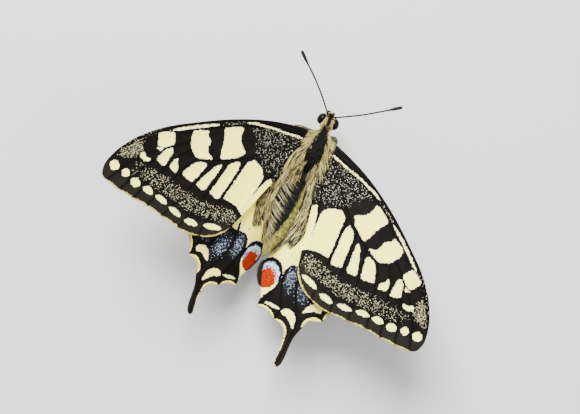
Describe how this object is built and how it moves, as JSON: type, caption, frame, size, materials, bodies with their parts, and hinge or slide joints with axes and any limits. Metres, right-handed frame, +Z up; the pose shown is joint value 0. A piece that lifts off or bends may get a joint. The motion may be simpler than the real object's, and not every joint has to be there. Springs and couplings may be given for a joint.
{
  "type": "swallowtail butterfly model",
  "caption": "Life-size still model of an open-winged swallowtail butterfly, cream and black with blue and red eyespots, standing on its feet.",
  "frame": {"origin": "middle of the bounding box, on the floor that the feet stand on", "axes": "+Z up from the floor, the head towards -Y, the butterfly's left wings towards +X"},
  "size_m": [0.0684, 0.0564, 0.023],
  "materials": {
    "wing_scales": "matt overlapping scales, cream and black",
    "body_hair": "hairy, straw-coloured with a black stripe",
    "palp_hair": "pale yellow hair",
    "leg_scales": "satin, dark with pale thighs",
    "antenna_horn": "satin black, faintly ringed",
    "eye_lens": "glossy, finely faceted"
  },
  "bodies": {
    "root": {"head": "body_hair", "thorax": "body_hair", "abdomen": "body_hair", "proboscis": "antenna_horn", "eye_left": "eye_lens", "antenna_left": "antenna_horn", "palp_left": "palp_hair", "forewing_left": "wing_scales", "hindwing_left": "wing_scales", "leg_front_left": "leg_scales", "leg_middle_left": "leg_scales", "leg_hind_left": "leg_scales", "eye_right": "eye_lens", "antenna_right": "antenna_horn", "palp_right": "palp_hair", "forewing_right": "wing_scales", "hindwing_right": "wing_scales", "leg_front_right": "leg_scales", "leg_middle_right": "leg_scales", "leg_hind_right": "leg_scales"}
  },
  "joints": []
}
